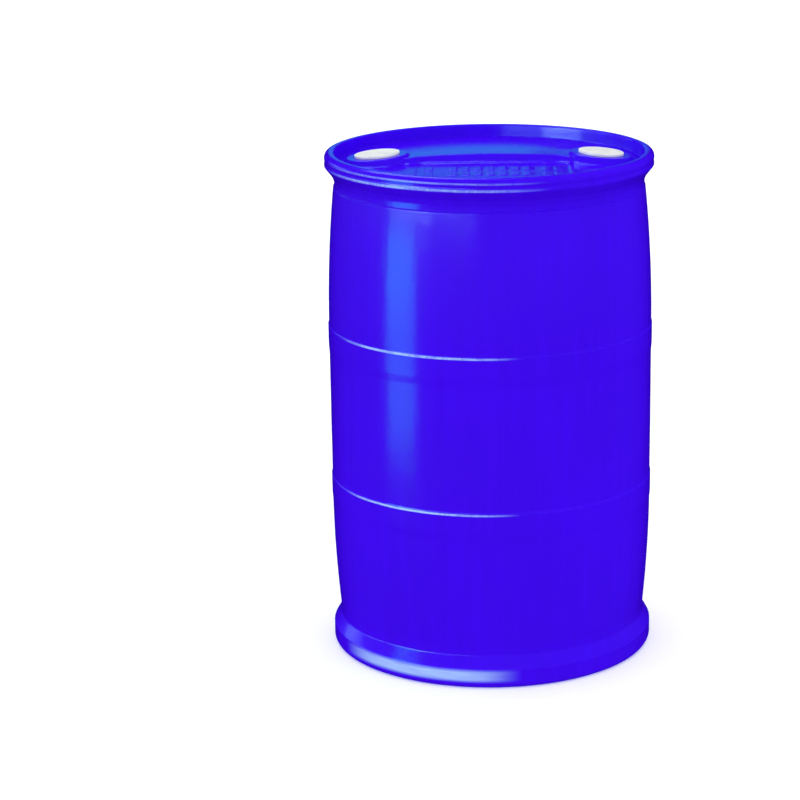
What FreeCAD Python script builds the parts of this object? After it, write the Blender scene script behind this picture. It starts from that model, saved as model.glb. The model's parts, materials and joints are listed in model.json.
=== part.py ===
import FreeCAD, Part
import math
import os
import Sketcher

# Tight-head plastic chemical drum, 210 litres nominal, with two integral L-rings.
# +Z is up, the origin is the middle of the foot ring, and the bungs lie along X.
# Every length is in millimetres and every angle in degrees.

doc = FreeCAD.newDocument("chemical_drum")

# ---------------------------------------------------------------- driving sizes
SIZES = {
    # overall
    "drum_height": 900.0,
    "ring_radius": 290.5,
    "wall": 3.5,
    "edge_round": 3.0,
    "neck_round": 8.0,
    "ring_edge_round": 3.0,
    # foot ring, from the floor up
    "foot_ring_radius": 289.8,
    "foot_round": 11.0,
    "foot_inner_radius": 270.0,
    "foot_depth": 15.0,
    "foot_ring_top": 28.0,
    "foot_neck_radius": 277.0,
    "foot_neck_bottom": 58.0,
    "foot_neck_top": 72.0,
    "base_crown": 7.0,
    # barrel with two rolling hoops
    "barrel_radius": 288.1,
    "barrel_lower_radius": 287.6,
    "barrel_arc_lower": 2227.0,
    "barrel_arc_upper": 2408.0,
    "hoop_proud": 1.4,
    "hoop_height": 41.0,
    "hoop_lower_top": 316.2,
    "hoop_upper_top": 592.4,
    "hoop_edge": 1.2,
    "hoop_ramp": 7.0,
    # shoulder and neck under the top ring
    "shoulder_radius": 275.6,
    "shoulder_z": 838.0,
    "shoulder_step": 2.0,
    "top_neck_radius": 273.8,
    "top_neck_z": 850.0,
    "top_neck_upper_radius": 277.6,
    "top_neck_upper_z": 860.0,
    # top ring
    "top_ring_bottom": 876.5,
    "top_round": 11.0,
    "top_inner_radius": 274.0,
    "top_inner_draft": 1.5,
    "channel_z": 878.0,
    "channel_radius": 272.5,
    # head plate
    "plate_crown": 6.0,
    "label_base_z": 877.0,
    "label_lift": 12.0,
    "label_proud": 1.3,
    "label_left": -128.0,
    "label_right": 139.0,
    "label_front": -190.0,
    "label_back": -48.0,
    "label_line": 4.0,
    "pad_half_width": 7.0,
    "pad_half_length": 17.0,
    # bridge between the bosses
    "bridge_half_width": 29.0,
    "bridge_lift": 22.0,
    "bridge_hollow_z": 870.0,
    "bridge_hollow_depth": 16.5,
    "bridge_hollow_reach": 125.0,
    "bridge_hollow_half_width": 18.0,
    "bridge_reach": 165.0,
    "bridge_crown_z": 896.0,
    "bridge_end_z": 890.0,
    "bridge_draft": 25.0,
    # bung bosses
    "bung_offset": 197.0,
    "bung_tilt": 5.0,
    "boss_z": 891.3,
    "boss_radius": 55.0,
    "boss_base_radius": 62.0,
    "boss_depth": 14.0,
    "boss_wall": 8.0,
    "boss_hollow_depth": 19.0,
    "boss_round": 3.0,
    # threaded neck piece
    "neck_outer_radius": 33.0,
    "neck_flange_radius": 38.0,
    "neck_flange_thick": 4.0,
    "neck_rise": 1.2,
    "neck_length": 26.0,
    "seat_radius": 34.6,
    "seat_depth": 3.0,
    "neck_chamfer": 0.8,
    # gasket
    "gasket_outer_radius": 33.8,
    "gasket_thick": 2.5,
    "gasket_slip": 0.6,
    # plug
    "plug_flange_radius": 34.0,
    "plug_flange_thick": 3.5,
    "plug_length": 22.0,
    "plug_floor": 3.0,
    "plug_wall": 4.2,
    "plug_chamfer": 0.8,
    "plug_lead": 1.0,
    "lug_half_width": 4.0,
    "lug_reach": 4.5,
    "lug_height": 18.0,
    # cap seal
    "cap_radius": 40.0,
    "cap_thick": 1.2,
    "cap_skirt_inner": 38.8,
    "cap_lip_inner": 38.3,
    "cap_lip_height": 0.8,
    "cap_skirt_gap": 0.3,
    "cap_round": 0.8,
    "cap_dish_radius": 31.0,
    "cap_dish_depth": 0.4,
    # threads
    "thread_gap": 0.35,
    "thread_bite": 0.3,
    "groove_run": 34.0,
    "ridge_run": 14.0,
}

# Each bung has its own thread: coarse buttress on the left, parallel pipe on the right.
# groove_z and ridge_z are whole numbers of pitches below the boss, so the two mesh.
THREADS = {
    "left": {
        "thread_pitch": 4.0,
        "thread_major": 28.0,
        "thread_minor": 26.3,
        "thread_root_half": 1.0,
        "thread_crest_half": 0.45,
        "groove_z": -32.0,
        "ridge_z": -20.0,
    },
    "right": {
        "thread_pitch": 2.309,
        "thread_major": 29.4,
        "thread_minor": 28.1,
        "thread_root_half": 0.575,
        "thread_crest_half": 0.175,
        "groove_z": -32.326,
        "ridge_z": -20.781,
    },
}
for side, thread in THREADS.items():
    for name, number in thread.items():
        SIZES[name + "_" + side] = number

# Middles of the blank raised pads in the label frame: one, then seven, then two.
PAD_COLUMNS = ["-106"] + ["%g" % (-64.5 + 21.5 * place) for place in range(7)] + ["98", "118"]
PAD_ROWS = ["-98", "-140"]

sheet = doc.addObject("Spreadsheet::Sheet", "Sizes")
for row, (name, number) in enumerate(SIZES.items(), start=1):
    sheet.set("A%d" % row, name)
    sheet.set("B%d" % row, "%g" % number)
    sheet.setAlias("B%d" % row, name)
doc.recompute()


# ---------------------------------------------------------------- sketching
def amount(words):
    """The number that a sum of size names, such as "ring_radius - wall", comes to."""
    total = 0.0
    sign = 1.0
    for word in words.split():
        if word == "+":
            sign = 1.0
        elif word == "-":
            sign = -1.0
        else:
            total += sign * (SIZES[word] if word in SIZES else float(word))
    return total


def formula(words):
    """The same sum as an expression on the sheet."""
    return " ".join("Sizes." + word if word in SIZES else word for word in words.split())


def new_body(label):
    body = doc.addObject("PartDesign::Body", label)
    body.Label = label
    doc.recompute()
    return body


def plane(body, role):
    return [item for item in body.Origin.OriginFeatures if item.Role == role][0]


def new_sketch(body, name, role, offset=None):
    sketch = body.newObject("Sketcher::SketchObject", name)
    sketch.AttachmentSupport = [(plane(body, role), "")]
    sketch.MapMode = "FlatFace"
    if offset is not None:
        sketch.AttachmentOffset = offset
    return sketch


def pin_point(sketch, geometry, end, words_x, words_y):
    """Hold one end of a curve at a driven position."""
    for kind, axis, words in (("DistanceX", -2, words_x), ("DistanceY", -1, words_y)):
        if words == "0":
            sketch.addConstraint(Sketcher.Constraint("PointOnObject", geometry, end, axis))
        else:
            held = Sketcher.Constraint(kind, -1, 1, geometry, end, amount(words))
            index = sketch.addConstraint(held)
            sketch.setExpression("Constraints[%d]" % index, formula(words))


def closed_profile(sketch, steps):
    """Draw a closed outline.

    Each step is (x, y) for a straight run to that point, or (x, y, radius, turn) for an
    arc to it, where turn is +1 anticlockwise or -1 clockwise. The radius "dome" stands
    for an arc centred on the vertical axis.
    """
    points = [FreeCAD.Vector(amount(step[0]), amount(step[1]), 0) for step in steps]
    starts = []
    ends = []
    for index, step in enumerate(steps):
        here = points[index - 1]
        there = points[index]
        if len(step) == 2:
            geometry = sketch.addGeometry(Part.LineSegment(here, there), False)
            first, last = 1, 2
        else:
            turn = step[3]
            if step[2] == "dome":
                square_gap = there.x ** 2 - here.x ** 2 + there.y ** 2 - here.y ** 2
                centre = FreeCAD.Vector(0, square_gap / (2 * (there.y - here.y)), 0)
                radius = there.sub(centre).Length
            else:
                radius = amount(step[2])
                chord = there.sub(here)
                middle = here.add(there).multiply(0.5)
                inward = FreeCAD.Vector(-chord.y, chord.x, 0).normalize().multiply(turn)
                reach = math.sqrt(max(radius ** 2 - (chord.Length / 2) ** 2, 0.0))
                centre = middle.add(inward.multiply(reach))
            angles = [math.atan2(p.y - centre.y, p.x - centre.x) for p in (here, there)]
            if turn < 0:
                angles.reverse()
            circle = Part.Circle(centre, FreeCAD.Vector(0, 0, 1), radius)
            geometry = sketch.addGeometry(Part.ArcOfCircle(circle, angles[0], angles[1]), False)
            first, last = (1, 2) if turn > 0 else (2, 1)
            if step[2] == "dome":
                sketch.addConstraint(Sketcher.Constraint("PointOnObject", geometry, 3, -2))
            else:
                held = sketch.addConstraint(Sketcher.Constraint("Radius", geometry, radius))
                sketch.setExpression("Constraints[%d]" % held, formula(step[2]))
        starts.append((geometry, first))
        ends.append((geometry, last))
    for index, step in enumerate(steps):
        following = starts[(index + 1) % len(steps)]
        sketch.addConstraint(Sketcher.Constraint("Coincident", *ends[index], *following))
        pin_point(sketch, ends[index][0], ends[index][1], step[0], step[1])


def rectangle(sketch, left, right, front, back):
    closed_profile(sketch, [(left, front), (right, front), (right, back), (left, back)])


def turned(body, name, sketch, cut=False):
    """Revolve a sketch about its own vertical axis, adding or removing material."""
    kind = "PartDesign::Groove" if cut else "PartDesign::Revolution"
    feature = body.newObject(kind, name)
    feature.Profile = sketch
    feature.ReferenceAxis = (sketch, ["V_Axis"])
    feature.Angle = 360.0
    doc.recompute()
    return feature


def padded(body, name, sketch, length, draft=None):
    feature = body.newObject("PartDesign::Pad", name)
    feature.Profile = sketch
    feature.setExpression("Length", formula(length))
    if draft is not None:
        feature.setExpression("TaperAngle", "0 - " + formula(draft))
    doc.recompute()
    return feature


def pocketed(body, name, sketch, length):
    """Cut upwards from a sketch on a level plane."""
    feature = body.newObject("PartDesign::Pocket", name)
    feature.Profile = sketch
    feature.Reversed = True
    feature.setExpression("Length", formula(length))
    doc.recompute()
    return feature


def ring_edges(shape, places):
    """Names of the circular edges nearest to the given (radius, height) corners."""
    names = []
    for radius, height in places:
        nearest = None
        for index, edge in enumerate(shape.Edges, start=1):
            if edge.Degenerated or not isinstance(edge.Curve, Part.Circle):
                continue
            centre = edge.Curve.Center
            off_axis = math.hypot(centre.x, centre.y)
            miss = off_axis + abs(edge.Curve.Radius - radius) + abs(centre.z - height)
            if nearest is None or miss < nearest[0]:
                nearest = (miss, "Edge%d" % index)
        if nearest[1] not in names:
            names.append(nearest[1])
    return names


def rounded(body, name, places, radius):
    """Round the circular corners of a turned body."""
    base = body.Tip
    feature = body.newObject("PartDesign::Fillet", name)
    feature.Base = (base, ring_edges(base.Shape, places))
    feature.Radius = amount(radius)
    feature.setExpression("Radius", formula(radius))
    doc.recompute()
    return feature


# ---------------------------------------------------------------- drum body
def bung_placement(side):
    """The bung's own frame: origin on the boss's top face, +Z outwards along the bung."""
    sign = -1.0 if side == "left" else 1.0
    place = FreeCAD.Vector(sign * SIZES["bung_offset"], 0, SIZES["boss_z"])
    tilt = FreeCAD.Rotation(FreeCAD.Vector(0, 1, 0), sign * SIZES["bung_tilt"])
    return FreeCAD.Placement(place, tilt)


def bung_sketch(body, name, side):
    """A sketch through a bung's axis, its vertical axis lying along the bung."""
    sign = -1.0 if side == "left" else 1.0
    place = FreeCAD.Vector(sign * SIZES["bung_offset"], SIZES["boss_z"], 0)
    turn = FreeCAD.Rotation(FreeCAD.Vector(0, 0, 1), -sign * SIZES["bung_tilt"])
    sketch = new_sketch(body, name, "XZ_Plane", FreeCAD.Placement(place, turn))
    number = "%g" % sign
    sketch.setExpression("AttachmentOffset.Base.x", number + " * Sizes.bung_offset")
    sketch.setExpression("AttachmentOffset.Base.y", "Sizes.boss_z")
    return sketch


drum = new_body("drum_body")

outer = new_sketch(drum, "outer_outline", "XZ_Plane")
closed_profile(outer, [
    ("0", "foot_depth + base_crown"),
    ("foot_inner_radius - edge_round", "foot_depth", "dome", -1),
    ("foot_inner_radius", "foot_depth - edge_round", "edge_round", -1),
    ("foot_inner_radius", "0"),
    ("foot_ring_radius - foot_round", "0"),
    ("foot_ring_radius", "foot_round", "foot_round", 1),
    ("foot_ring_radius", "foot_ring_top"),
    ("foot_neck_radius", "foot_neck_bottom"),
    ("foot_neck_radius", "foot_neck_top"),
    ("barrel_lower_radius", "hoop_lower_top - hoop_height - hoop_ramp",
     "barrel_arc_lower", 1),
    ("barrel_lower_radius + hoop_proud", "hoop_lower_top - hoop_height"),
    ("barrel_lower_radius + hoop_proud", "hoop_lower_top - hoop_edge"),
    ("barrel_lower_radius", "hoop_lower_top"),
    ("barrel_radius", "hoop_upper_top - hoop_height - hoop_ramp"),
    ("barrel_radius + hoop_proud", "hoop_upper_top - hoop_height"),
    ("barrel_radius + hoop_proud", "hoop_upper_top - hoop_edge"),
    ("barrel_radius", "hoop_upper_top"),
    ("shoulder_radius", "shoulder_z", "barrel_arc_upper", 1),
    ("top_neck_radius", "shoulder_z + shoulder_step"),
    ("top_neck_radius", "top_neck_z"),
    ("top_neck_upper_radius", "top_neck_upper_z"),
    ("ring_radius", "top_ring_bottom"),
    ("ring_radius", "drum_height - top_round"),
    ("ring_radius - top_round", "drum_height", "top_round", 1),
    ("top_inner_radius", "drum_height"),
    ("channel_radius", "channel_z + edge_round"),
    ("channel_radius - edge_round", "channel_z", "edge_round", -1),
    ("0", "channel_z + plate_crown", "dome", 1),
])
turned(drum, "outer_form", outer)

rounded(drum, "ring_blend", [
    (amount("foot_inner_radius"), 0.0),
    (amount("top_inner_radius"), amount("drum_height")),
], "edge_round")
rounded(drum, "neck_blend", [
    (amount("foot_neck_radius"), amount("foot_neck_bottom")),
    (amount("foot_neck_radius"), amount("foot_neck_top")),
    (amount("foot_ring_radius"), amount("foot_ring_top")),
    (amount("top_neck_upper_radius"), amount("top_neck_upper_z")),
    (amount("top_neck_radius"), amount("top_neck_z")),
], "neck_round")
rounded(drum, "ring_corner", [
    (amount("ring_radius"), amount("top_ring_bottom")),
], "ring_edge_round")

# Raised blank label frame, trimmed to follow the crowned head plate.
frame = new_sketch(drum, "label_outline", "XY_Plane",
                   FreeCAD.Placement(FreeCAD.Vector(0, 0, SIZES["label_base_z"]),
                                     FreeCAD.Rotation()))
frame.setExpression("AttachmentOffset.Base.z", "Sizes.label_base_z")
rectangle(frame, "label_left", "label_right", "label_front", "label_back")
rectangle(frame, "label_left + label_line", "label_right - label_line",
          "label_front + label_line", "label_back - label_line")
for x_middle in PAD_COLUMNS:
    for y_middle in PAD_ROWS:
        rectangle(frame, x_middle + " - pad_half_width", x_middle + " + pad_half_width",
                  y_middle + " - pad_half_length", y_middle + " + pad_half_length")
padded(drum, "label_frame", frame, "label_lift")

trim = new_sketch(drum, "label_trim_outline", "XZ_Plane")
closed_profile(trim, [
    ("0", "channel_z + plate_crown + label_proud"),
    ("channel_radius", "channel_z + label_proud", "dome", -1),
    ("channel_radius", "drum_height + top_round"),
    ("0", "drum_height + top_round"),
])

turned(drum, "label_trim", trim, cut=True)

# Bridge that ties the two bosses together, its top crowned like the head.
bridge = new_sketch(drum, "bridge_outline", "XY_Plane",
                    FreeCAD.Placement(FreeCAD.Vector(0, 0, SIZES["channel_z"]),
                                      FreeCAD.Rotation()))
bridge.setExpression("AttachmentOffset.Base.z", "Sizes.channel_z")
rectangle(bridge, "0 - bridge_reach", "bridge_reach",
          "0 - bridge_half_width", "bridge_half_width")
padded(drum, "bridge", bridge, "bridge_lift", "bridge_draft")
bridge_trim = new_sketch(drum, "bridge_trim_outline", "XZ_Plane")
closed_profile(bridge_trim, [
    ("0", "bridge_crown_z"),
    ("bridge_reach", "bridge_end_z", "dome", -1),
    ("bridge_reach", "drum_height + top_round"),
    ("0", "drum_height + top_round"),
])
turned(drum, "bridge_trim", bridge_trim, cut=True)

for side in THREADS:
    boss = bung_sketch(drum, "boss_outline_" + side, side)
    closed_profile(boss, [
        ("0", "0 - boss_depth"),
        ("boss_base_radius", "0 - boss_depth"),
        ("boss_radius", "0"),
        ("0", "0"),
    ])
    turned(drum, "boss_" + side, boss)

# Hollow inside, one wall thickness within the outside.
cavity = new_sketch(drum, "cavity_outline", "XZ_Plane")
closed_profile(cavity, [
    ("0", "foot_depth + base_crown + wall"),
    ("foot_inner_radius", "foot_depth + wall", "dome", -1),
    ("foot_neck_radius - wall", "foot_ring_top"),
    ("foot_neck_radius - wall", "foot_neck_top"),
    ("barrel_lower_radius - wall", "hoop_lower_top - hoop_height - hoop_ramp",
     "barrel_arc_lower", 1),
    ("barrel_radius - wall", "hoop_upper_top"),
    ("shoulder_radius - wall", "shoulder_z", "barrel_arc_upper", 1),
    ("top_neck_radius - wall", "top_neck_z"),
    ("top_neck_radius - wall", "top_neck_upper_z"),
    ("channel_radius - ring_edge_round", "channel_z - wall", ),
    ("0", "channel_z + plate_crown - wall", "dome", 1),
])
turned(drum, "cavity", cavity, cut=True)
bridge_hollow = new_sketch(drum, "bridge_hollow_outline", "XY_Plane",
                           FreeCAD.Placement(FreeCAD.Vector(0, 0, SIZES["bridge_hollow_z"]),
                                             FreeCAD.Rotation()))
bridge_hollow.setExpression("AttachmentOffset.Base.z", "Sizes.bridge_hollow_z")
rectangle(bridge_hollow, "0 - bridge_hollow_reach", "bridge_hollow_reach",
          "0 - bridge_hollow_half_width", "bridge_hollow_half_width")
pocketed(drum, "bridge_hollow", bridge_hollow, "bridge_hollow_depth")
for side in THREADS:
    hollow = bung_sketch(drum, "boss_hollow_outline_" + side, side)
    closed_profile(hollow, [
        ("0", "0 - boss_hollow_depth"),
        ("boss_base_radius - wall", "0 - boss_hollow_depth"),
        ("boss_radius - wall", "0 - boss_wall"),
        ("0", "0 - boss_wall"),
    ])
    turned(drum, "boss_hollow_" + side, hollow, cut=True)
    seat = bung_sketch(drum, "neck_seat_outline_" + side, side)
    closed_profile(seat, [
        ("0", "0 - boss_depth"),
        ("neck_outer_radius", "0 - boss_depth"),
        ("neck_outer_radius", "0 - neck_flange_thick"),
        ("neck_flange_radius", "0 - neck_flange_thick"),
        ("neck_flange_radius", "boss_depth"),
        ("0", "boss_depth"),
    ])
    turned(drum, "neck_seat_" + side, seat, cut=True)


# ---------------------------------------------------------------- bung parts
def threaded(body, name, sketch, side, height, cut=False):
    """Sweep a thread's section up a right-hand helix about the bung's axis."""
    kind = "PartDesign::SubtractiveHelix" if cut else "PartDesign::AdditiveHelix"
    feature = body.newObject(kind, name)
    feature.Profile = sketch
    feature.ReferenceAxis = (sketch, ["V_Axis"])
    feature.Mode = "pitch-height-angle"
    feature.setExpression("Pitch", formula("thread_pitch_" + side))
    feature.setExpression("Height", formula(height))
    feature.Angle = 0.0
    doc.recompute()
    return feature


def tooth(sketch, side, inner, outer, middle, clearance):
    """One tooth's outline, wide at the root and narrow at the crest."""
    root = "thread_root_half_" + side
    crest = "thread_crest_half_" + side
    closed_profile(sketch, [
        (inner, middle + " - " + root + " - " + clearance),
        (outer, middle + " - " + crest + " - " + clearance),
        (outer, middle + " + " + crest + " + " + clearance),
        (inner, middle + " + " + root + " + " + clearance),
    ])


def place_on_bung(body, side):
    body.Placement = bung_placement(side)
    sign = "-1" if side == "left" else "1"
    body.setExpression("Placement.Base.x", sign + " * Sizes.bung_offset")
    body.setExpression("Placement.Base.z", "Sizes.boss_z")


def make_neck(side):
    """Moulded-in neck: a flange with a gasket seat over an internally threaded tube."""
    minor = "thread_minor_" + side
    major = "thread_major_" + side
    bore = minor + " + thread_bite"
    body = new_body("neck_" + side)
    outline = new_sketch(body, "neck_outline_" + side, "XZ_Plane")
    closed_profile(outline, [
        (bore, "0 - neck_length"),
        ("neck_outer_radius", "0 - neck_length"),
        ("neck_outer_radius", "0 - neck_flange_thick"),
        ("neck_flange_radius", "0 - neck_flange_thick"),
        ("neck_flange_radius", "neck_rise - neck_chamfer"),
        ("neck_flange_radius - neck_chamfer", "neck_rise"),
        ("seat_radius", "neck_rise"),
        ("seat_radius", "0 - seat_depth"),
        (bore, "0 - seat_depth"),
    ])
    turned(body, "neck_form_" + side, outline)
    # The groove starts below the neck and ends above the seat, so it is open both ways.
    groove = new_sketch(body, "neck_groove_" + side, "XZ_Plane")
    tooth(groove, side, minor, major + " + thread_gap", "groove_z_" + side, "thread_gap")
    threaded(body, "neck_thread_" + side, groove, side, "groove_run", cut=True)
    place_on_bung(body, side)
    return body


def make_gasket(side):
    """Flat ring squeezed between the neck's seat and the plug's flange."""
    body = new_body("gasket_" + side)
    outline = new_sketch(body, "gasket_outline_" + side, "XZ_Plane")
    closed_profile(outline, [
        ("thread_major_" + side + " + gasket_slip", "0 - seat_depth"),
        ("gasket_outer_radius", "0 - seat_depth"),
        ("gasket_outer_radius", "gasket_thick - seat_depth"),
        ("thread_major_" + side + " + gasket_slip", "gasket_thick - seat_depth"),
    ])
    turned(body, "gasket_form_" + side, outline)
    place_on_bung(body, side)
    return body


def make_plug(side):
    """Cup-shaped plug: a flange over a threaded shank, with four lugs in its socket."""
    minor = "thread_minor_" + side
    major = "thread_major_" + side
    under = "gasket_thick - seat_depth"
    top = under + " + plug_flange_thick"
    body = new_body("plug_" + side)
    outline = new_sketch(body, "plug_outline_" + side, "XZ_Plane")
    closed_profile(outline, [
        ("0", "0 - plug_length"),
        (minor + " - plug_lead", "0 - plug_length"),
        (minor, "plug_lead - plug_length"),
        (minor, under),
        ("plug_flange_radius", under),
        ("plug_flange_radius", top + " - plug_chamfer"),
        ("plug_flange_radius - plug_chamfer", top),
        (minor + " - plug_wall + plug_lead", top),
        (minor + " - plug_wall", top + " - plug_lead"),
        (minor + " - plug_wall", "plug_floor - plug_length"),
        ("0", "plug_floor - plug_length"),
    ])
    turned(body, "plug_form_" + side, outline)
    ridge = new_sketch(body, "plug_ridge_" + side, "XZ_Plane")
    tooth(ridge, side, minor + " - thread_bite", major, "ridge_z_" + side, "0")
    threaded(body, "plug_thread_" + side, ridge, side, "ridge_run")
    lug_base = FreeCAD.Vector(0, 0, SIZES["plug_floor"] - SIZES["plug_length"])
    lug = new_sketch(body, "lug_outline_" + side, "XY_Plane",
                     FreeCAD.Placement(lug_base, FreeCAD.Rotation()))
    lug.setExpression("AttachmentOffset.Base.z", formula("plug_floor - plug_length"))
    rectangle(lug, minor + " - plug_wall - lug_reach", minor + " - plug_lead",
              "0 - lug_half_width", "lug_half_width")
    first_lug = padded(body, "lug_" + side, lug, "lug_height")
    ring = body.newObject("PartDesign::PolarPattern", "lugs_" + side)
    ring.Originals = [first_lug]
    ring.Axis = ([item for item in body.Origin.OriginFeatures if item.Role == "Z_Axis"][0], [""])
    ring.Angle = 360.0
    ring.Occurrences = 4
    body.Tip = ring
    doc.recompute()
    place_on_bung(body, side)
    return body


def make_cap_seal(side):
    """Snap-on over-cap: a shallow dished disc with a skirt and an inner lip."""
    under = "gasket_thick - seat_depth + plug_flange_thick"
    top = under + " + cap_thick"
    body = new_body("cap_seal_" + side)
    outline = new_sketch(body, "cap_outline_" + side, "XZ_Plane")
    closed_profile(outline, [
        ("0", under),
        ("cap_skirt_inner", under),
        ("cap_skirt_inner", "cap_skirt_gap + cap_lip_height"),
        ("cap_lip_inner", "cap_skirt_gap + cap_lip_height"),
        ("cap_lip_inner", "cap_skirt_gap"),
        ("cap_radius", "cap_skirt_gap"),
        ("cap_radius", top + " - cap_round"),
        ("cap_radius - cap_round", top, "cap_round", 1),
        ("cap_dish_radius + cap_dish_depth", top),
        ("cap_dish_radius", top + " - cap_dish_depth"),
        ("0", top + " - cap_dish_depth"),
    ])
    turned(body, "cap_form_" + side, outline)
    place_on_bung(body, side)
    return body


built = [drum]
for side in THREADS:
    for maker in (make_neck, make_gasket, make_plug, make_cap_seal):
        built.append(maker(side))
doc.recompute()

# ---------------------------------------------------------------- checks and files
for item in doc.Objects:
    if "Invalid" in item.State or "Error" in item.State:
        raise RuntimeError("%s is in state %s" % (item.Name, item.State))
for body in built:
    if body.Shape.isNull() or not body.Shape.isValid():
        raise RuntimeError("%s has no valid shape" % body.Label)
    if len(body.Shape.Solids) != 1:
        raise RuntimeError("%s is not one solid" % body.Label)

os.makedirs("parts", exist_ok=True)
for body in built:
    body.Shape.exportStep("parts/%s.step" % body.Label)
    print(body.Label, round(body.Shape.Volume))
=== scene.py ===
import json
import math

import bmesh
import bpy
import numpy as np
from mathutils import Matrix, Vector, noise
from mathutils.geometry import delaunay_2d_cdt

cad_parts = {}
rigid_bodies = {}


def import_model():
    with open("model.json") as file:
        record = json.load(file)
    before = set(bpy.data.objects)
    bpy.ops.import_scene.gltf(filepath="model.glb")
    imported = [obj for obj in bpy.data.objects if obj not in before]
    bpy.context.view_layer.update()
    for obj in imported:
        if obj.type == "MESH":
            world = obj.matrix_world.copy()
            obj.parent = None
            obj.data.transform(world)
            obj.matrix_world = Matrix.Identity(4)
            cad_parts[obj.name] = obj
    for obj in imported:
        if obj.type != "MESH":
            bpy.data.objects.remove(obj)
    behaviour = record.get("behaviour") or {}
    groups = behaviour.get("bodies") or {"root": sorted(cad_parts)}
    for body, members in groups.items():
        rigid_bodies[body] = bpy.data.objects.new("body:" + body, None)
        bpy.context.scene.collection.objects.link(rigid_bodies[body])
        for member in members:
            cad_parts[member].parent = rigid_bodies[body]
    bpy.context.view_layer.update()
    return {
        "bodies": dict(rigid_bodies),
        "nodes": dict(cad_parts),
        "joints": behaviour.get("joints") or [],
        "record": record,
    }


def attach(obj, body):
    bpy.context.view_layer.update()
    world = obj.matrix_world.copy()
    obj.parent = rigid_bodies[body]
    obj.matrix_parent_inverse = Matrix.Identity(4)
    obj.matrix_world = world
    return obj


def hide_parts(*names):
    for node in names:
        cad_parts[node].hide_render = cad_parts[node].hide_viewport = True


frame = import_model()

# ---------------------------------------------------------------- camera
# Seen from straight in front (-Y), looking a little down, as the drum was photographed.
CAMERA_DISTANCE = 4.542
CAMERA_HEIGHT = 1.675
CAMERA_PITCH = math.radians(15.28)
CAMERA_YAW = math.radians(-0.016)
CAMERA_ROLL = math.radians(0.372)
CAMERA_TURN = math.radians(-1.0)
SENSOR_MM = 36.0
LENS_MM = 117.45
SHIFT_X = -0.1125
SHIFT_Y = 0.00625


def place_camera():
    """A long lens in front of the drum, shifted so that the drum sits right of the middle."""
    forward = Vector((
        math.sin(CAMERA_YAW) * math.cos(CAMERA_PITCH),
        math.cos(CAMERA_YAW) * math.cos(CAMERA_PITCH),
        -math.sin(CAMERA_PITCH),
    ))
    right = Vector((math.cos(CAMERA_YAW), -math.sin(CAMERA_YAW), 0.0))
    down = forward.cross(right)
    cos_roll = math.cos(CAMERA_ROLL)
    sin_roll = math.sin(CAMERA_ROLL)
    image_right = right * cos_roll + down * sin_roll
    image_down = down * cos_roll - right * sin_roll
    turn = Matrix((image_right, -image_down, -forward)).transposed()
    data = bpy.data.cameras.new("camera")
    data.sensor_width = SENSOR_MM
    data.lens = LENS_MM
    data.shift_x = SHIFT_X
    data.shift_y = SHIFT_Y
    data.clip_end = 500.0
    camera = bpy.data.objects.new("camera", data)
    bpy.context.scene.collection.objects.link(camera)
    place = Matrix.Translation((0.0, -CAMERA_DISTANCE, CAMERA_HEIGHT)) @ turn.to_4x4()
    camera.matrix_world = Matrix.Rotation(CAMERA_TURN, 4, "Z") @ place
    bpy.context.scene.camera = camera


# ---------------------------------------------------------------- drum skin
# Lengths of the skin are in millimetres and turn into metres as the mesh is made.
MM = 0.001
# points round the outside, round each bung and round the cavity
COLUMNS = 720
RING_COUNT = 144
INNER_COLUMNS = 180
# finest steps of an outline: round an arc, and along a straight stretch
ARC_STEP = math.radians(7.5)
LONGEST_STEP = 5.0

RIM_Z = 900.0
RING_RADIUS = 290.5
FOOT_RADIUS = 289.8
WALL = 3.5

# barrel: each arc runs from one (r, z) to another with a radius of its own
UPPER_BARREL = ((288.1, 592.4), (275.6, 838.0), 2408.0)
LOWER_BARREL = ((277.0, 72.0), (287.6, 268.2), 2227.0)

# head, its crown and the hole it fills
HEAD_Z = 878.0
HEAD_CROWN = 6.0
RIM_RADIUS = 269.5

# base, domed up off the floor
BASE_RADIUS = 267.0
BASE_Z = 15.0
BASE_DOME = 7.0

# bungs, their bosses and the seats for their necks
BUNG_OFFSET = 197.0
BUNG_TILT = math.radians(5.0)
BOSS_Z = 891.3
BOSS_RADIUS = 54.5
BOSS_ROUNDING = 2.6
BOSS_FILLET = 4.0
SEAT_RADIUS = 38.0
SEAT_DEPTH = 4.0
BORE_RADIUS = 33.0
BORE_DEPTH = 14.0

# bridge between the bosses, flared where it meets them
BRIDGE_Z = 896.3
BRIDGE_SAG = 6.3
BRIDGE_SPAN = 155.0
BRIDGE_END = 165.0
BRIDGE_HALF_WIDTH = 24.0
FLARE = 9.0
FLARE_AT = 142.0
FLARE_LENGTH = 13.0
BRIDGE_ROUNDING = 3.0
BRIDGE_FILLET = 5.0
FLANK_SLOPE = 1.9

# raised label frame and the blank pads inside it
FRAME_MIDDLE = (5.5, -119.0)
FRAME_HALF = (133.5, 71.0)
FRAME_CORNER = 12.0
FRAME_RISE = 1.3
FRAME_SIDE = (1.0, 2.4)
PAD_HALF = (7.0, 17.0)
PAD_CORNER = 3.0
PAD_RISE = 1.1
PAD_SIDE = (-1.2, 0.4)
PAD_ROWS = (-98.0, -140.0)
PAD_FIRST = -106.0
PAD_RUN_START = -64.5
PAD_PITCH = 21.5
PAD_RUN_COUNT = 7
PAD_LAST = (98.0, 118.0)


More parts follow.
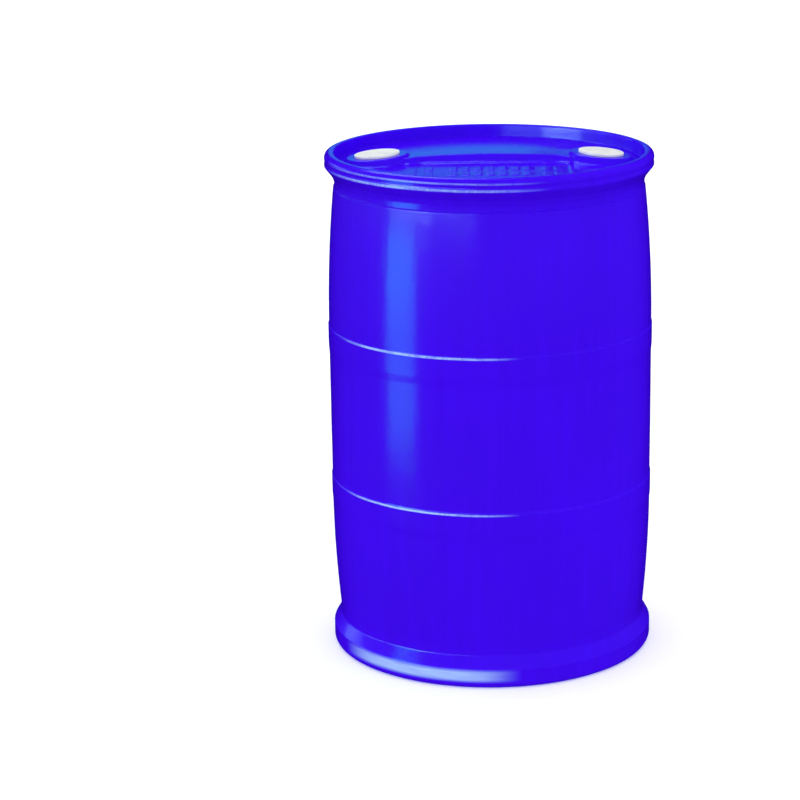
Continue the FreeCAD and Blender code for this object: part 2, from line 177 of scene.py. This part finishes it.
def rounded_path(corners, longest):
    """A fine outline from (r, z, rounding) corners, with arcs at the rounded ones."""
    path = []
    for index, (r, z, rounding) in enumerate(corners):
        here = Vector((r, z))
        if rounding <= 0 or index in (0, len(corners) - 1):
            path.append((r, z))
            continue
        before = (Vector(corners[index - 1][:2]) - here).normalized()
        after = (Vector(corners[index + 1][:2]) - here).normalized()
        half = before.angle(after) / 2
        reach = rounding / math.tan(half)
        bisector = (before + after).normalized()
        centre = here + bisector * (rounding / math.sin(half))
        start = here + before * reach
        end = here + after * reach
        turn = math.pi - 2 * half
        count = max(2, int(math.ceil(turn / ARC_STEP)))
        spoke_a = start - centre
        spoke_b = end - centre
        for step in range(count + 1):
            share = step / count
            weight_a = math.sin((1 - share) * turn) / math.sin(turn)
            weight_b = math.sin(share * turn) / math.sin(turn)
            path.append(tuple(centre + spoke_a * weight_a + spoke_b * weight_b))
    fine = [path[0]]
    for r, z in path[1:]:
        last_r, last_z = fine[-1]
        length = math.hypot(r - last_r, z - last_z)
        if length < 1e-6:
            continue
        count = max(1, int(math.ceil(length / longest)))
        for step in range(1, count + 1):
            share = step / count
            fine.append((last_r + (r - last_r) * share, last_z + (z - last_z) * share))
    return fine


def arc_points(start, end, radius, count):
    """Points between two ends of a shallow arc that bulges outwards."""
    a = Vector(start)
    b = Vector(end)
    chord = b - a
    middle = (a + b) / 2
    outward = Vector((chord.y, -chord.x)).normalized()
    if outward.x < 0:
        outward = -outward
    centre = middle - outward * math.sqrt(radius ** 2 - (chord.length / 2) ** 2)
    points = []
    for step in range(1, count):
        point = a + chord * (step / count)
        spoke = (point - centre).normalized()
        points.append(tuple(centre + spoke * radius) + (0.0,))
    return points


def base_height(r):
    """Underside of the base: a shallow dome that keeps it off the floor."""
    return BASE_Z + BASE_DOME * (1 - (r / BASE_RADIUS) ** 2)


def outside_corners():
    """The outside from the head's edge, over the ring and down to the base, as (r, z, rounding)."""
    upper = arc_points(*UPPER_BARREL, 24)
    lower = arc_points(*LOWER_BARREL, 20)
    # top ring with a shallow groove round its face, then the step down to the barrel
    corners = [
        (RIM_RADIUS, HEAD_Z, 0.0),
        (271.6, HEAD_Z, 1.7),
        (274.0, RIM_Z, 3.0),
        (RING_RADIUS, RIM_Z, 10.0),
        (RING_RADIUS, 889.0, 0.9),
        (289.7, 884.0, 6.0),
        (RING_RADIUS, 879.6, 0.9),
        (RING_RADIUS, 876.5, 1.9),
        (277.6, 860.0, 9.0),
        (273.8, 850.0, 9.0),
        (273.8, 840.3, 1.2),
        (275.6, 838.4, 1.2),
    ]
    corners += list(reversed(upper))
    # two rolling hoops, each a sharp lip that fades downwards into the barrel
    corners += [
        (*UPPER_BARREL[0], 0.0),
        (289.5, 591.4, 0.6),
        (289.3, 556.0, 60.0),
        (288.1, 541.0, 60.0),
        (287.6, 316.6, 0.0),
        (289.0, 315.4, 0.6),
        (288.8, 280.0, 60.0),
        (*LOWER_BARREL[1], 0.0),
    ]
    corners += list(reversed(lower))
    # foot ring, flat underneath, and the step up to the base
    corners += [
        (*LOWER_BARREL[0], 8.0),
        (277.0, 56.5, 8.0),
        (FOOT_RADIUS, 34.5, 4.0),
        (FOOT_RADIUS, 0.0, 10.99),
        (270.0, 0.0, 3.0),
        (270.0, BASE_Z, 2.9),
    ]
    corners += [(r, base_height(r), 0.0) for r in range(264, 0, -6)]
    return corners


def smooth_max(a, b, reach):
    """The larger of two heights, blended where they are within reach of each other."""
    lift = np.maximum(reach - np.abs(a - b), 0.0) / reach
    return np.maximum(a, b) + lift * lift * reach / 4


def smooth_min(a, b, reach):
    """The smaller of two heights, blended in the same way."""
    return -smooth_max(-a, -b, reach)


def ease(low, high, value):
    """A smooth step from 0 at low to 1 at high."""
    share = np.clip((value - low) / (high - low), 0.0, 1.0)
    return share * share * (3 - 2 * share)


def rounded_box_distance(x, y, middle, half, corner):
    """Signed distance to a rectangle with round corners, negative inside."""
    off_x = np.abs(x - middle[0]) - half[0] + corner
    off_y = np.abs(y - middle[1]) - half[1] + corner
    outside = np.hypot(np.maximum(off_x, 0), np.maximum(off_y, 0))
    return outside + np.minimum(np.maximum(off_x, off_y), 0) - corner


def pads():
    """Middles of the blank raised pads inside the label frame."""
    run = [PAD_RUN_START + PAD_PITCH * i for i in range(PAD_RUN_COUNT)]
    return [(x, y) for x in (PAD_FIRST, *run, *PAD_LAST) for y in PAD_ROWS]


def head_height(x, y):
    """Height of the head's top surface in millimetres, bosses, bridge and frame included."""
    r = np.hypot(x, y)
    top = HEAD_Z + HEAD_CROWN * (1 - (r / RIM_RADIUS) ** 2)
    frame = rounded_box_distance(x, y, FRAME_MIDDLE, FRAME_HALF, FRAME_CORNER)
    emboss = FRAME_RISE * (1 - ease(*FRAME_SIDE, np.abs(frame)))
    for middle in pads():
        pad = rounded_box_distance(x, y, middle, PAD_HALF, PAD_CORNER)
        emboss = np.maximum(emboss, PAD_RISE * (1 - ease(*PAD_SIDE, pad)))
    top = top + emboss
    half_width = BRIDGE_HALF_WIDTH + FLARE * np.exp(-((np.abs(x) - FLARE_AT) / FLARE_LENGTH) ** 2)
    bridge = BRIDGE_Z - BRIDGE_SAG * (x / BRIDGE_SPAN) ** 2
    flank = bridge - (np.abs(y) - half_width) * FLANK_SLOPE
    bridge = smooth_min(bridge, flank, BRIDGE_ROUNDING)
    top = np.where(np.abs(x) < BRIDGE_END, smooth_max(top, bridge, BRIDGE_FILLET), top)
    for sign in (-1.0, 1.0):
        along = (x - sign * BUNG_OFFSET) / math.cos(BUNG_TILT)
        d = np.hypot(along, y)
        plane = BOSS_Z - sign * (x - sign * BUNG_OFFSET) * math.tan(BUNG_TILT)
        boss = smooth_min(plane, plane - (d - BOSS_RADIUS) * FLANK_SLOPE, BOSS_ROUNDING)
        top = smooth_max(top, boss, BOSS_FILLET)
    return top


def bung_ring(sign, radius, height, count):
    """Points on a circle about a bung's axis, at a height along it."""
    place = Vector((sign * BUNG_OFFSET, 0, BOSS_Z))
    turn = Matrix.Rotation(sign * BUNG_TILT, 3, "Y")
    ring = []
    for step in range(count):
        angle = 2 * math.pi * step / count
        local = Vector((radius * math.cos(angle), radius * math.sin(angle), height))
        ring.append(place + turn @ local)
    return ring


# the head's grid: every point where the surface bends, every sixth where it doesn't
FINE_STEP = 1.0
GRID_REACH = 267
COARSE = 6
FLAT_ENOUGH = 0.012


def loop_edges(first, count):
    """Edges that join a run of points into a loop."""
    return [(first + i, first + (i + 1) % count) for i in range(count)]


def head_triangles():
    """The head's top surface: fine where it turns, coarse where it is nearly flat."""
    turns = [2 * math.pi * i / COLUMNS for i in range(COLUMNS)]
    chosen = [(RIM_RADIUS * math.cos(a), RIM_RADIUS * math.sin(a)) for a in turns]
    edges = loop_edges(0, COLUMNS)
    for sign in (-1, 1):
        edges += loop_edges(len(chosen), RING_COUNT)
        chosen += [(p.x, p.y) for p in bung_ring(sign, SEAT_RADIUS, 0.0, RING_COUNT)]
    steps = np.arange(-GRID_REACH, GRID_REACH + 1) * FINE_STEP
    x, y = (axis.ravel() for axis in np.meshgrid(steps, steps))
    inside = np.hypot(x, y) < RIM_RADIUS - 1.6
    for sign in (-1, 1):
        along = (x - sign * BUNG_OFFSET) / math.cos(BUNG_TILT)
        inside &= np.hypot(along, y) > SEAT_RADIUS + 1.0
    x = x[inside]
    y = y[inside]
    here = head_height(x, y)
    bend = np.zeros_like(here)
    for dx, dy in ((1, 0), (0, 1), (1, 1), (1, -1)):
        ahead = head_height(x + dx * FINE_STEP, y + dy * FINE_STEP)
        behind = head_height(x - dx * FINE_STEP, y - dy * FINE_STEP)
        bend = np.maximum(bend, np.abs(ahead + behind - 2 * here))
    column = np.rint(x / FINE_STEP).astype(int)
    row = np.rint(y / FINE_STEP).astype(int)
    keep = (bend > FLAT_ENOUGH) | ((column % COARSE == 0) & (row % COARSE == 0))
    chosen += list(zip(x[keep].tolist(), y[keep].tolist()))
    found = delaunay_2d_cdt([Vector(p) for p in chosen], edges, [], 0, 1e-6)
    flat = np.array([tuple(v) for v in found[0]])
    corners = np.array([list(face) for face in found[2]])
    middle = flat[corners].mean(axis=1)
    solid = np.ones(len(corners), bool)
    for sign in (-1, 1):
        along = (middle[:, 0] - sign * BUNG_OFFSET) / math.cos(BUNG_TILT)
        solid &= np.hypot(along, middle[:, 1]) > SEAT_RADIUS - 0.01
    height = head_height(flat[:, 0], flat[:, 1])
    rim = np.hypot(flat[:, 0], flat[:, 1]) > RIM_RADIUS - 0.5
    height[rim] = HEAD_Z
    return np.column_stack([flat, height]), corners[solid]


class Mesher:
    """Collects the skin's vertices and faces."""

    def __init__(self):
        self.points = []
        self.faces = []

    def add(self, points, faces):
        first = len(self.points)
        self.points.extend(points)
        self.faces.extend(tuple(first + int(i) for i in face) for face in faces)

    def bands(self, rings):
        """Join rings of equally many points, each to the next."""
        count = len(rings[0])
        faces = []
        for level in range(len(rings) - 1):
            low = level * count
            for i in range(count):
                j = (i + 1) % count
                faces.append((low + i, low + j, low + count + j, low + count + i))
        self.add([p for ring in rings for p in ring], faces)

    def disc(self, ring, centre):
        """Close a ring with a fan of triangles."""
        count = len(ring)
        self.add(list(ring) + [centre], [(i, (i + 1) % count, count) for i in range(count)])


def lathe_ring(r, z, count):
    """Points on a circle about the drum's axis."""
    turns = [2 * math.pi * i / count for i in range(count)]
    return [(r * math.cos(a), r * math.sin(a), z) for a in turns]


# waviness: it starts outside the rim's inner face, with two wave lengths and their depths
WAVY_FROM = 270.5
WAVY_FADE = 4.0
WIDE_WAVE = 95.0
WIDE_DEPTH = 0.28
CLOSE_WAVE = 34.0
CLOSE_DEPTH = 0.09


def wobble(points):
    """Blow-moulded walls are never quite true: draw each point slightly inwards."""
    moved = []
    for x, y, z in points:
        r = math.hypot(x, y)
        if r < WAVY_FROM:
            moved.append((x, y, z))
            continue
        wide = noise.noise(Vector((x, y, z * 0.8)) / WIDE_WAVE)
        close = noise.noise(Vector((x, y, z * 2.0)) / CLOSE_WAVE + Vector((7.0, 3.0, 5.0)))
        inward = WIDE_DEPTH * (1 + wide) + CLOSE_DEPTH * (1 + close)
        inward *= min(1.0, (r - WAVY_FROM) / WAVY_FADE)
        share = (r - inward) / r
        moved.append((x * share, y * share, z))
    return moved


def inside_rings(count):
    """The cavity wall, one wall thickness inside the outside."""
    outline = [(RIM_RADIUS, HEAD_Z - WALL), (270.2, 866.0), (270.2, 850.0), (272.1, 838.0)]
    outline += [(r - WALL, z) for r, z, _ in reversed(arc_points(*UPPER_BARREL, 8))]
    outline += [(284.5, 592.0), (284.2, 268.2)]
    outline += [(r - WALL, z) for r, z, _ in reversed(arc_points(*LOWER_BARREL, 6))]
    outline += [(273.5, 72.0), (273.5, 28.0), (270.0, BASE_Z + WALL)]
    outline += [(r, base_height(r) + WALL) for r in range(240, 0, -30)]
    return [lathe_ring(r, z, count) for r, z in outline]


# the ceiling's grid: its step, how far it reaches and the radius it stays within
CEILING_STEP = 15
CEILING_REACH = 255
CEILING_RADIUS = 260.0


def ceiling(count, ring_count):
    """Underside of the head, with a hole for each neck."""
    edge_z = HEAD_Z - WALL
    chosen = [p[:2] for p in lathe_ring(RIM_RADIUS, edge_z, count)]
    height = {i: edge_z for i in range(count)}
    edges = loop_edges(0, count)
    for sign in (-1, 1):
        first = len(chosen)
        edges += loop_edges(first, ring_count)
        for i, p in enumerate(bung_ring(sign, BORE_RADIUS, -BORE_DEPTH, ring_count)):
            chosen.append((p.x, p.y))
            height[first + i] = p.z
    fixed = len(chosen)
    steps = range(-CEILING_REACH, CEILING_REACH + 1, CEILING_STEP)
    for x in steps:
        for y in steps:
            clear = all(math.hypot(x - sign * BUNG_OFFSET, y) > SEAT_RADIUS for sign in (-1, 1))
            if math.hypot(x, y) < CEILING_RADIUS and clear:
                chosen.append((float(x), float(y)))
    found = delaunay_2d_cdt([Vector(p) for p in chosen], edges, [], 0, 1e-6)
    points = []
    for index, p in enumerate(found[0]):
        source = found[3][index][0] if found[3][index] else fixed
        domed = edge_z + HEAD_CROWN * (1 - (p.length / RIM_RADIUS) ** 2)
        points.append((p.x, p.y, height.get(source, domed)))
    faces = []
    for face in found[2]:
        x, y = (sum(points[i][axis] for i in face) / 3 for axis in (0, 1))
        if all(math.hypot(x + sign * BUNG_OFFSET, y) > BORE_RADIUS + 0.5 for sign in (-1, 1)):
            faces.append(tuple(face))
    return points, faces


def build_skin():
    """The drum's finished body as one closed mesh, in metres."""
    mesher = Mesher()
    mesher.add(*head_triangles())
    path = rounded_path(outside_corners(), LONGEST_STEP)
    rings = [lathe_ring(r, z, COLUMNS) for r, z in path]
    mesher.bands(rings)
    mesher.disc(rings[-1], (0.0, 0.0, base_height(0.0)))
    for sign in (-1, 1):
        seat = [
            (SEAT_RADIUS, 0.0),
            (SEAT_RADIUS, -SEAT_DEPTH),
            (BORE_RADIUS, -SEAT_DEPTH),
            (BORE_RADIUS, -BORE_DEPTH),
        ]
        mesher.bands([[tuple(p) for p in bung_ring(sign, r, h, RING_COUNT)] for r, h in seat])
    mesher.add(*ceiling(INNER_COLUMNS, RING_COUNT))
    rings = inside_rings(INNER_COLUMNS)
    mesher.bands(rings)
    mesher.disc(rings[-1], (0.0, 0.0, base_height(0.0) + WALL))
    mesh = bpy.data.meshes.new("drum_skin")
    points = [tuple(c * MM for c in p) for p in wobble(mesher.points)]
    mesh.from_pydata(points, [], mesher.faces)
    work = bmesh.new()
    work.from_mesh(mesh)
    bmesh.ops.remove_doubles(work, verts=work.verts, dist=2e-6)
    bmesh.ops.recalc_face_normals(work, faces=work.faces)
    work.to_mesh(mesh)
    work.free()
    mesh.polygons.foreach_set("use_smooth", [True] * len(mesh.polygons))
    skin = bpy.data.objects.new("drum_skin", mesh)
    bpy.context.scene.collection.objects.link(skin)
    return skin


# ---------------------------------------------------------------- materials
class Shades:
    """Short ways to add nodes to one material."""

    def __init__(self, name, roughness, specular):
        self.material = bpy.data.materials.new(name)
        self.material.use_nodes = True
        tree = self.material.node_tree
        self.nodes = tree.nodes
        self.links = tree.links
        self.shader = self.nodes["Principled BSDF"]
        self.shader.inputs["Roughness"].default_value = roughness
        self.shader.inputs["Specular IOR Level"].default_value = specular
        place = self.nodes.new("ShaderNodeTexCoord")
        self.place = place.outputs["Object"]
        split = self.nodes.new("ShaderNodeSeparateXYZ")
        self.links.new(self.place, split.inputs[0])
        self.x, self.y, self.z = split.outputs

    def feed(self, socket, value):
        """Give an input a number, or link another node to it."""
        if isinstance(value, (int, float)):
            socket.default_value = value
        else:
            self.links.new(value, socket)

    def math(self, operation, a, b=0.0):
        node = self.nodes.new("ShaderNodeMath")
        node.operation = operation
        self.feed(node.inputs[0], a)
        self.feed(node.inputs[1], b)
        return node.outputs[0]

    def length(self, a, b):
        """Distance from the origin to (a, b)."""
        squares = self.math("ADD", self.math("MULTIPLY", a, a), self.math("MULTIPLY", b, b))
        return self.math("SQRT", squares)

    def remap(self, value, low, high, to_low=0.0, to_high=1.0):
        """A smooth step from one range to another."""
        node = self.nodes.new("ShaderNodeMapRange")
        node.interpolation_type = "SMOOTHSTEP"
        self.links.new(value, node.inputs["Value"])
        node.inputs["From Min"].default_value = low
        node.inputs["From Max"].default_value = high
        node.inputs["To Min"].default_value = to_low
        node.inputs["To Max"].default_value = to_high
        return node.outputs["Result"]

    def noise(self, scale, detail, stretch=(1.0, 1.0, 1.0)):
        """Noise over the object, finer along an axis whose stretch is larger."""
        mapping = self.nodes.new("ShaderNodeMapping")
        mapping.inputs["Scale"].default_value = stretch
        self.links.new(self.place, mapping.inputs["Vector"])
        node = self.nodes.new("ShaderNodeTexNoise")
        node.inputs["Scale"].default_value = scale
        node.inputs["Detail"].default_value = detail
        self.links.new(mapping.outputs[0], node.inputs["Vector"])
        return node.outputs["Fac"]

    def mix(self, share, first, second):
        """Blend two colours; each is a colour or a socket."""
        node = self.nodes.new("ShaderNodeMix")
        node.data_type = "RGBA"
        self.links.new(share, node.inputs[0])
        for socket, value in ((node.inputs[6], first), (node.inputs[7], second)):
            if isinstance(value, tuple):
                socket.default_value = (*value, 1.0)
            else:
                self.links.new(value, socket)
        return node.outputs[2]

    def colour(self, socket):
        self.links.new(socket, self.shader.inputs["Base Color"])

    def roughness(self, socket):
        self.links.new(socket, self.shader.inputs["Roughness"])

    def bumps(self, layers):
        """Stack bump layers, each (height socket, strength, distance in metres)."""
        below = None
        for height, strength, distance in layers:
            node = self.nodes.new("ShaderNodeBump")
            node.inputs["Strength"].default_value = strength
            node.inputs["Distance"].default_value = distance
            self.links.new(height, node.inputs["Height"])
            if below:
                self.links.new(below, node.inputs["Normal"])
            below = node.outputs["Normal"]
        self.links.new(below, self.shader.inputs["Normal"])


def near(shades, value, middle, reach):
    """1 at a middle value, easing to 0 at a reach away from it."""
    away = shades.math("ABSOLUTE", shades.math("SUBTRACT", value, middle))
    return shades.remap(away, reach * 0.35, reach, 1.0, 0.0)


BLUE = (0.043, 0.0004, 0.82)
BLUE_DEEP = (0.040, 0.0002, 0.76)
# lighter blue painted on the ring, hoop and foot edges: painted highlights of the side lights, also
# standing for scuffs
SCUFF_AND_HIGHLIGHT = (0.35, 0.52, 0.95)
FITTING = (0.05, 0.002, 0.78)
FITTING_DEEP = (0.042, 0.001, 0.68)
RUBBER = (0.018, 0.018, 0.02)
RUBBER_DUST = (0.05, 0.05, 0.052)
CAP_CLEAN = (0.78, 0.78, 0.77)
CAP_SOILED = (0.64, 0.65, 0.64)

# smoothest the barrel gets, before grain and wear dull it
BARREL_ROUGHNESS = 0.115

# painted highlights and scuffs: the lit side they face, measured from the front, then the edges
# they lie on in metres, each as (height, reach) and, for the two edges of the ring's face, how
# strong the painted highlight is
LIT_SIDE = math.radians(28.0)
RING_EDGES = ((0.8786, 0.0029, 0.66), (0.8902, 0.0022, 0.38))
HOOP_LIPS = ((0.5916, 0.0024), (0.3156, 0.0021))
FOOT_EDGE = (0.0235, 0.0135)
PARTING_WIDTH = 0.0016


def drum_blue():
    """Blow-moulded HDPE: faint flow streaks, orange peel, a parting line, and painted highlights
    with scuffs along the rings' edges on the lit side.
    """
    m = Shades("drum_blue", 0.17, 0.12)
    # how far out a point is, and two noises that tint the plastic
    radius = m.length(m.x, m.y)
    cloud = m.noise(5.0, 3.0)
    flow = m.noise(60.0, 3.0, (1.0, 1.0, 0.05))
    shade = m.math("ADD", m.math("MULTIPLY", cloud, 0.6), m.math("MULTIPLY", flow, 0.4))
    shade = m.remap(shade, 0.38, 0.62)
    base = m.mix(shade, BLUE, BLUE_DEEP)
    # painted highlight and scuff texture: fine streaks round the drum, broken into beads
    streaks = m.noise(1.0, 4.0, (22.0, 22.0, 420.0))
    beads = m.noise(1.0, 2.0, (190.0, 190.0, 60.0))
    beading = m.math("ADD", m.math("MULTIPLY", streaks, 0.6), m.math("MULTIPLY", beads, 0.4))
    beading = m.remap(beading, 0.38, 0.56, 0.45, 1.0)
    # 1 where the drum faces its lit side, falling to 0 round the drum: the painted highlights sit
    # there
    across = m.math("MULTIPLY", m.x, -math.sin(LIT_SIDE))
    facing = m.math("SUBTRACT", across, m.math("MULTIPLY", m.y, math.cos(LIT_SIDE)))
    facing = m.math("DIVIDE", facing, radius)
    wide_side = m.remap(facing, 0.66, 0.97)
    narrow_side = m.remap(facing, 0.79, 0.98)
    # heights of the painted highlights and scuffs: both edges of the ring's face, the hoops' lips
    # and the foot's edge
    ring = [m.math("MULTIPLY", near(m, m.z, z, reach), most) for z, reach, most in RING_EDGES]
    ring = m.math("MULTIPLY", m.math("MAXIMUM", *ring), wide_side)
    hoops = [near(m, m.z, z, reach) for z, reach in HOOP_LIPS]
    hoops = m.math("MULTIPLY", m.math("MAXIMUM", *hoops), narrow_side)
    lines = m.math("MAXIMUM", ring, hoops)
    foot = m.math("MULTIPLY", near(m, m.z, *FOOT_EDGE), narrow_side)
    foot = m.math("MULTIPLY", foot, m.remap(streaks, 0.3, 0.7, 0.75, 1.0))
    outside = m.remap(radius, 0.2835, 0.2855)
    highlight_and_scuff = m.math("MAXIMUM", m.math("MULTIPLY", lines, beading), foot)
    highlight_and_scuff = m.math("MULTIPLY", highlight_and_scuff, outside)
    # the edges facing the lit side are painted lighter: painted highlights, together with scuffs
    m.colour(m.mix(highlight_and_scuff, base, SCUFF_AND_HIGHLIGHT))
    # gloss: orange peel, clouds and the painted highlight and scuff mask all dull it
    peel = m.noise(330.0, 2.0)
    gloss = m.math("ADD", m.math("MULTIPLY", peel, 0.05), m.math("MULTIPLY", cloud, 0.06))
    gloss = m.math("ADD", gloss, m.math("MULTIPLY", highlight_and_scuff, 0.35))
    m.roughness(m.math("ADD", gloss, BARREL_ROUGHNESS))
    parting = m.math("MULTIPLY", near(m, m.y, 0.0, PARTING_WIDTH), m.remap(radius, 0.27, 0.274))
    ripple = m.noise(75.0, 2.0, (1.0, 1.0, 0.5))
    m.bumps([
        (ripple, 0.28, 0.0008),
        (peel, 0.30, 0.0004),
        (flow, 0.10, 0.0005),
        (streaks, 0.03, 0.0003),
        (parting, 0.5, 0.0004),
    ])
    return m.material


def fitting_blue():
    """Injection-moulded necks and plugs: the same blue, duller, with a fine grain."""
    m = Shades("fitting_blue", 0.32, 0.2)
    cloud = m.noise(40.0, 3.0)
    m.colour(m.mix(m.remap(cloud, 0.35, 0.65), FITTING, FITTING_DEEP))
    grain = m.noise(700.0, 2.0)
    m.roughness(m.remap(m.math("ADD", grain, cloud), 0.6, 1.4, 0.24, 0.42))
    m.bumps([(grain, 0.15, 0.0003)])
    return m.material


def gasket_black():
    """EPDM rubber with a bloom of fine dust."""
    m = Shades("gasket_black", 0.6, 0.3)
    bloom = m.noise(180.0, 4.0)
    m.colour(m.mix(m.remap(bloom, 0.4, 0.75), RUBBER, RUBBER_DUST))
    m.roughness(m.remap(bloom, 0.3, 0.7, 0.5, 0.72))
    m.bumps([(m.noise(900.0, 2.0), 0.2, 0.0003)])
    return m.material


CAP_GROOVE_RADIUS = 0.0315
CAP_GROOVE_WIDTH = 0.0014


def cap_white():
    """Soft white polyethylene, faintly soiled, with a moulded grain and a ring round the middle."""
    m = Shades("cap_white", 0.4, 0.3)
    soil = m.noise(45.0, 4.0)
    m.colour(m.mix(m.remap(soil, 0.45, 0.8), CAP_CLEAN, CAP_SOILED))
    grain = m.noise(600.0, 2.0)
    m.roughness(m.remap(grain, 0.3, 0.7, 0.34, 0.48))
    aside = m.math("SUBTRACT", m.math("ABSOLUTE", m.x), BUNG_OFFSET * MM)
    ring = near(m, m.length(aside, m.y), CAP_GROOVE_RADIUS, CAP_GROOVE_WIDTH)
    groove = m.math("SUBTRACT", 1.0, ring)
    m.bumps([(grain, 0.12, 0.0003), (soil, 0.10, 0.0006), (groove, 0.6, 0.0005)])
    return m.material


fitting = fitting_blue()
MATERIALS = {
    "drum_body": drum_blue(),
    "neck": fitting,
    "gasket": gasket_black(),
    "plug": fitting,
    "cap": cap_white(),
}
for name, node in frame["nodes"].items():
    for key, material in MATERIALS.items():
        if name.startswith(key):
            node.data.materials.clear()
            node.data.materials.append(material)
skin = build_skin()
skin.data.materials.append(MATERIALS["drum_body"])
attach(skin, "drum")
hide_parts("drum_body")


# ---------------------------------------------------------------- light and floor
def area_light(name, place, target, size, power, colour):
    """A soft panel seen only as a gloss on the drum."""
    data = bpy.data.lights.new(name, "AREA")
    data.shape = "RECTANGLE"
    data.size = size[0]
    data.size_y = size[1]
    data.energy = power
    data.color = colour
    light = bpy.data.objects.new(name, data)
    light.visible_camera = False
    light.visible_diffuse = False
    bpy.context.scene.collection.objects.link(light)
    aim = Vector(target) - Vector(place)
    turn = aim.to_track_quat("-Z", "Y").to_matrix().to_4x4()
    light.matrix_world = Matrix.Translation(place) @ turn


def softbox(name, azimuth, distance, low, high, width, radiance, colour):
    """An upright soft panel that faces the drum. Azimuth 0 is the camera's side, + is right."""
    turn = math.radians(azimuth)
    middle = (low + high) / 2
    place = (distance * math.sin(turn), -distance * math.cos(turn), middle)
    power = radiance * math.pi * width * (high - low)
    area_light(name, place, (0.0, 0.0, middle), (width, high - low), power, colour)


WORLD_BELOW = 0.76
WORLD_HORIZON = 1.42
WORLD_ZENITH = 1.24
COOL = (0.0, 0.9, 0.8)
PALE = (0.4, 0.72, 1.0)
FLOOR_REACH = 60.0

# key: two stacked panels at one side, for the strip down the barrel, as (name, low, high, radiance)
KEY_AZIMUTH = -61.0
KEY_DISTANCE = 1.5
KEY_WIDTH = 0.54
KEY_PANELS = (
    ("key_upper", 0.45, 0.75, 12.5),
    ("key_lower", 0.05, 0.45, 8.5),
)
# band: far panels side by side, for the edges of the rings, as (azimuth, radiance)
BAND_DISTANCE = 10.0
BAND_LOW = 1.05
BAND_HIGH = 2.5
BAND_WIDTH = 5.4
BAND_PANELS = ((-27.0, 11.0), (-59.0, 50.0), (-91.0, 9.0), (-123.0, 4.0))
# single panels, as (name, place, target, size, power, colour)
PANELS = (
    ("overhead", (-0.72, 0.72, 2.76), (0.0, 0.0, 0.5), (1.5, 1.5), 60.0, PALE),
    ("back", (-0.17, 3.0, 1.37), (0.0, 0.0, 0.9), (0.78, 0.5), 0.78, COOL),
    ("back_right", (0.40, 3.0, 1.20), (0.0, 0.0, 0.9), (0.36, 0.26), 0.22, COOL),
)


def studio_world():
    """A plain white dome that lights the drum evenly, dimmer low down. Only lamps show as gloss."""
    world = bpy.data.worlds.new("studio")
    bpy.context.scene.world = world
    world.use_nodes = True
    world.cycles_visibility.glossy = False
    nodes = world.node_tree.nodes
    links = world.node_tree.links
    background = nodes["Background"]
    background.inputs["Color"].default_value = (1.0, 1.0, 1.0, 1.0)
    place = nodes.new("ShaderNodeTexCoord")
    split = nodes.new("ShaderNodeSeparateXYZ")
    links.new(place.outputs["Generated"], split.inputs[0])
    above = nodes.new("ShaderNodeMapRange")
    above.inputs["From Min"].default_value = 0.0
    above.inputs["From Max"].default_value = 0.8
    above.inputs["To Min"].default_value = WORLD_HORIZON
    above.inputs["To Max"].default_value = WORLD_ZENITH
    below = nodes.new("ShaderNodeMapRange")
    below.inputs["From Min"].default_value = -0.25
    below.inputs["From Max"].default_value = 0.0
    below.inputs["To Min"].default_value = WORLD_BELOW - WORLD_HORIZON
    below.inputs["To Max"].default_value = 0.0
    total = nodes.new("ShaderNodeMath")
    total.operation = "ADD"
    links.new(split.outputs["Z"], above.inputs["Value"])
    links.new(split.outputs["Z"], below.inputs["Value"])
    links.new(above.outputs["Result"], total.inputs[0])
    links.new(below.outputs["Result"], total.inputs[1])
    links.new(total.outputs[0], background.inputs["Strength"])


def stage_scene():
    """World, plain white floor and the soft panels."""
    studio_world()
    mesh = bpy.data.meshes.new("floor")
    square = ((-1, -1), (1, -1), (1, 1), (-1, 1))
    corners = [(x * FLOOR_REACH, y * FLOOR_REACH, 0) for x, y in square]
    mesh.from_pydata(corners, [], [(0, 1, 2, 3)])
    floor = bpy.data.objects.new("floor", mesh)
    bpy.context.scene.collection.objects.link(floor)
    floor.visible_glossy = False
    floor.visible_diffuse = False
    floor.visible_shadow = False
    paint = bpy.data.materials.new("floor_white")
    paint.use_nodes = True
    inputs = paint.node_tree.nodes["Principled BSDF"].inputs
    inputs["Base Color"].default_value = (0.9, 0.9, 0.9, 1)
    inputs["Roughness"].default_value = 0.9
    inputs["Emission Color"].default_value = (1, 1, 1, 1)
    inputs["Emission Strength"].default_value = 0.2
    mesh.materials.append(paint)
    for name, low, high, radiance in KEY_PANELS:
        softbox(name, KEY_AZIMUTH, KEY_DISTANCE, low, high, KEY_WIDTH, radiance, COOL)
    for azimuth, radiance in BAND_PANELS:
        softbox("band", azimuth, BAND_DISTANCE, BAND_LOW, BAND_HIGH, BAND_WIDTH, radiance, PALE)
    for panel in PANELS:
        area_light(*panel)


place_camera()
stage_scene()
scene = bpy.context.scene
scene.view_settings.view_transform = "Standard"
scene.view_settings.look = "None"
